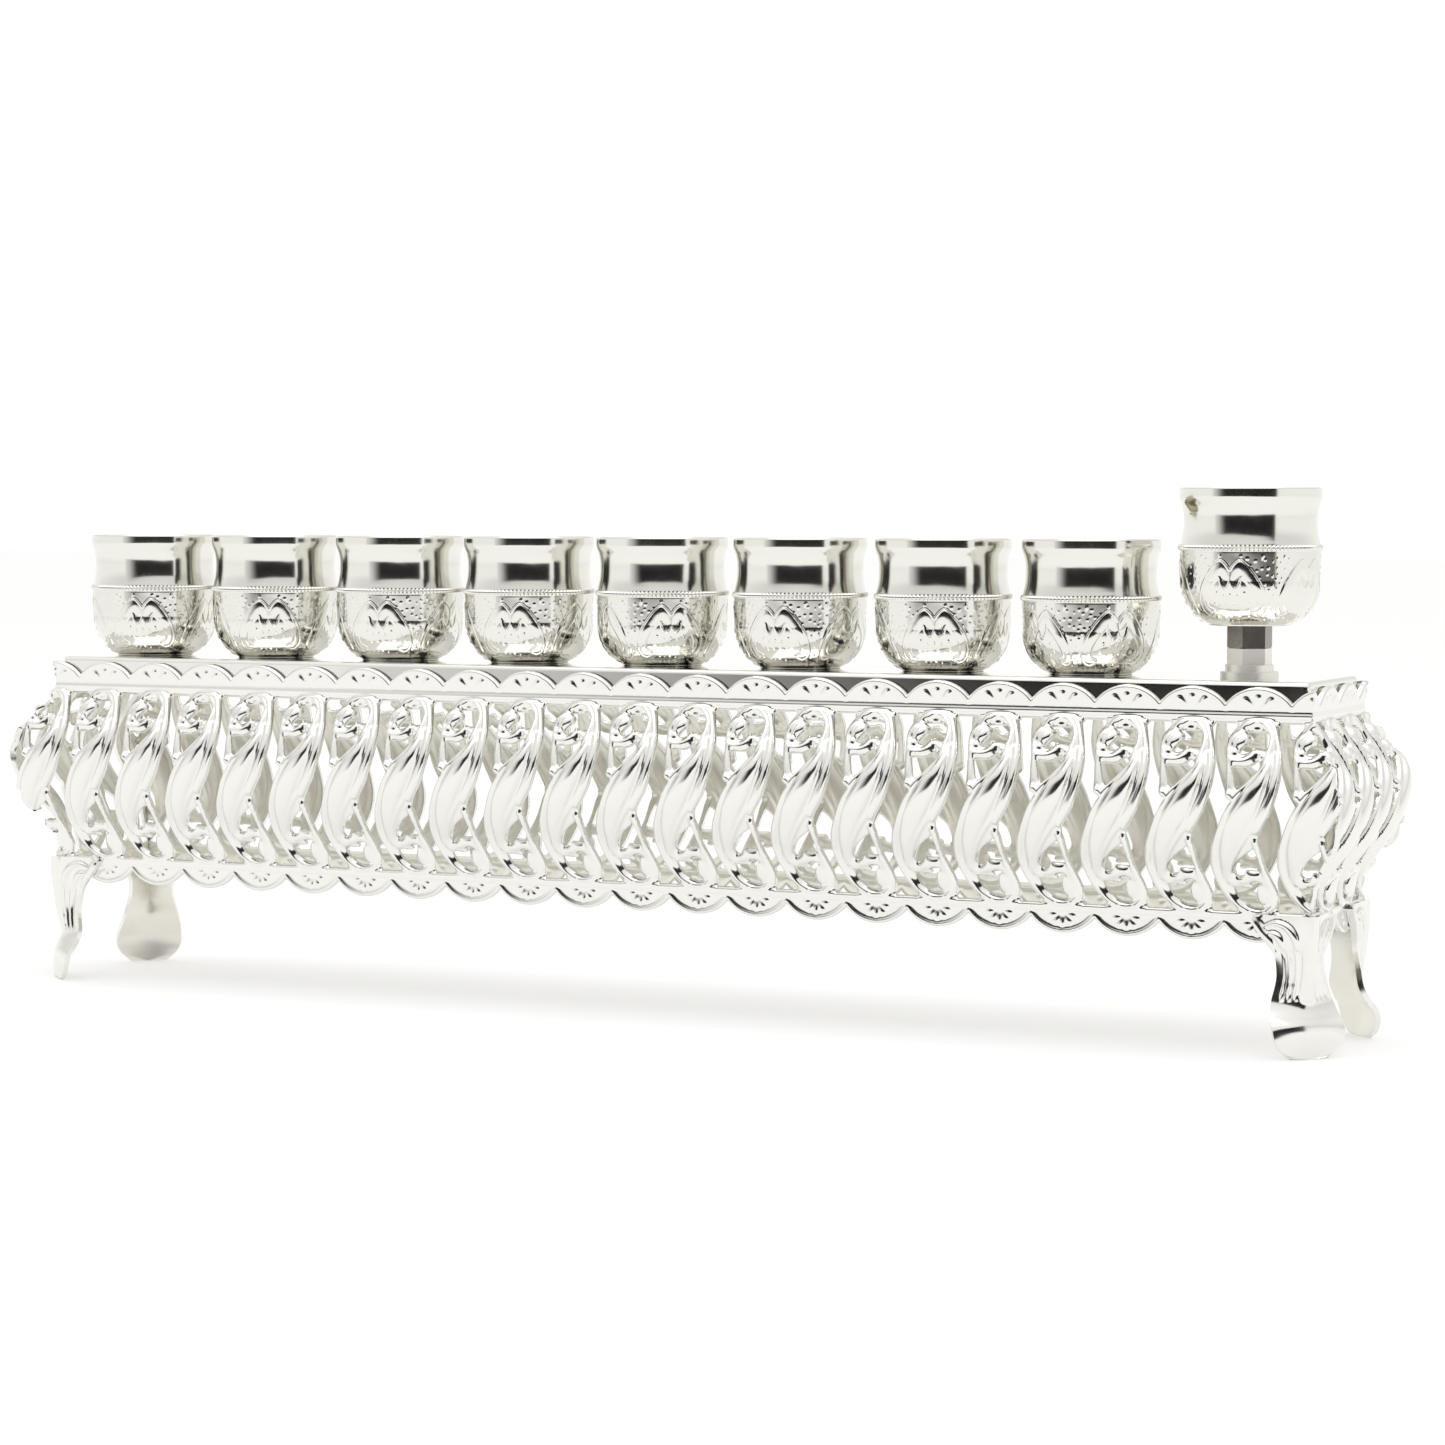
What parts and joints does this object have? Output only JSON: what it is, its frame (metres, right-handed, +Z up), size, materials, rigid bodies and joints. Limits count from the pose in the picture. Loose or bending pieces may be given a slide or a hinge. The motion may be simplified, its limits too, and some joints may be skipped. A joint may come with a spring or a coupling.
{
  "type": "menorah",
  "caption": "Hanukkah menorah: a row of spun cups and a raised shamash cup on a polished plate over a pierced, bellied box stand with spoon feet.",
  "frame": {"origin": "on the surface that the feet stand on, under the middle of the top plate; also the bottom centre of the bounding box", "axes": "+X along the row of cups towards the shamash, -Y towards the viewer (front gallery), +Z up"},
  "size_m": [0.3132, 0.0512, 0.1126],
  "materials": {
    "polished_plate": "mirror-polished silver plate",
    "pressed_plate": "bright silver plate over pressed sheet, satin inside",
    "spun_cup": "mirror-polished silver plate, stippled on the bowl",
    "steel_fasteners": "plain zinc-plated steel, slightly dull"
  },
  "bodies": {
    "stand": {"top_plate": "polished_plate", "gallery_front": "pressed_plate", "gallery_back": "pressed_plate", "gallery_left": "pressed_plate", "gallery_right": "pressed_plate", "foot_front_left": "pressed_plate", "foot_front_right": "pressed_plate", "foot_back_left": "pressed_plate", "foot_back_right": "pressed_plate", "cup_screws": "steel_fasteners", "cup_washers": "steel_fasteners", "cup_nuts": "steel_fasteners", "shamash_screw": "steel_fasteners", "shamash_washer": "steel_fasteners", "shamash_lower_nut": "steel_fasteners", "shamash_flange_nut": "steel_fasteners", "shamash_upper_nut": "steel_fasteners"},
    "cup_1_turning": {"cup_1": "spun_cup"},
    "cup_2_turning": {"cup_2": "spun_cup"},
    "cup_3_turning": {"cup_3": "spun_cup"},
    "cup_4_turning": {"cup_4": "spun_cup"},
    "cup_5_turning": {"cup_5": "spun_cup"},
    "cup_6_turning": {"cup_6": "spun_cup"},
    "cup_7_turning": {"cup_7": "spun_cup"},
    "cup_8_turning": {"cup_8": "spun_cup"},
    "shamash_cup_turning": {"shamash_cup": "spun_cup"}
  },
  "joints": [
    {"name": "cup_1_turn", "type": "hinge", "parent": "stand", "child": "cup_1_turning", "pos_m": [-0.1342, 0, 0.0743], "axis": [0, 0, 1], "continuous": true},
    {"name": "cup_2_turn", "type": "hinge", "parent": "stand", "child": "cup_2_turning", "pos_m": [-0.10127, 0, 0.0743], "axis": [0, 0, 1], "continuous": true},
    {"name": "cup_3_turn", "type": "hinge", "parent": "stand", "child": "cup_3_turning", "pos_m": [-0.06834, 0, 0.0743], "axis": [0, 0, 1], "continuous": true},
    {"name": "cup_4_turn", "type": "hinge", "parent": "stand", "child": "cup_4_turning", "pos_m": [-0.03541, 0, 0.0743], "axis": [0, 0, 1], "continuous": true},
    {"name": "cup_5_turn", "type": "hinge", "parent": "stand", "child": "cup_5_turning", "pos_m": [-0.00248, 0, 0.0743], "axis": [0, 0, 1], "continuous": true},
    {"name": "cup_6_turn", "type": "hinge", "parent": "stand", "child": "cup_6_turning", "pos_m": [0.03045, 0, 0.0743], "axis": [0, 0, 1], "continuous": true},
    {"name": "cup_7_turn", "type": "hinge", "parent": "stand", "child": "cup_7_turning", "pos_m": [0.06338, 0, 0.0743], "axis": [0, 0, 1], "continuous": true},
    {"name": "cup_8_turn", "type": "hinge", "parent": "stand", "child": "cup_8_turning", "pos_m": [0.09631, 0, 0.0743], "axis": [0, 0, 1], "continuous": true},
    {"name": "shamash_cup_turn", "type": "hinge", "parent": "stand", "child": "shamash_cup_turning", "pos_m": [0.1304, 0, 0.0849], "axis": [0, 0, 1], "continuous": true}
  ]
}
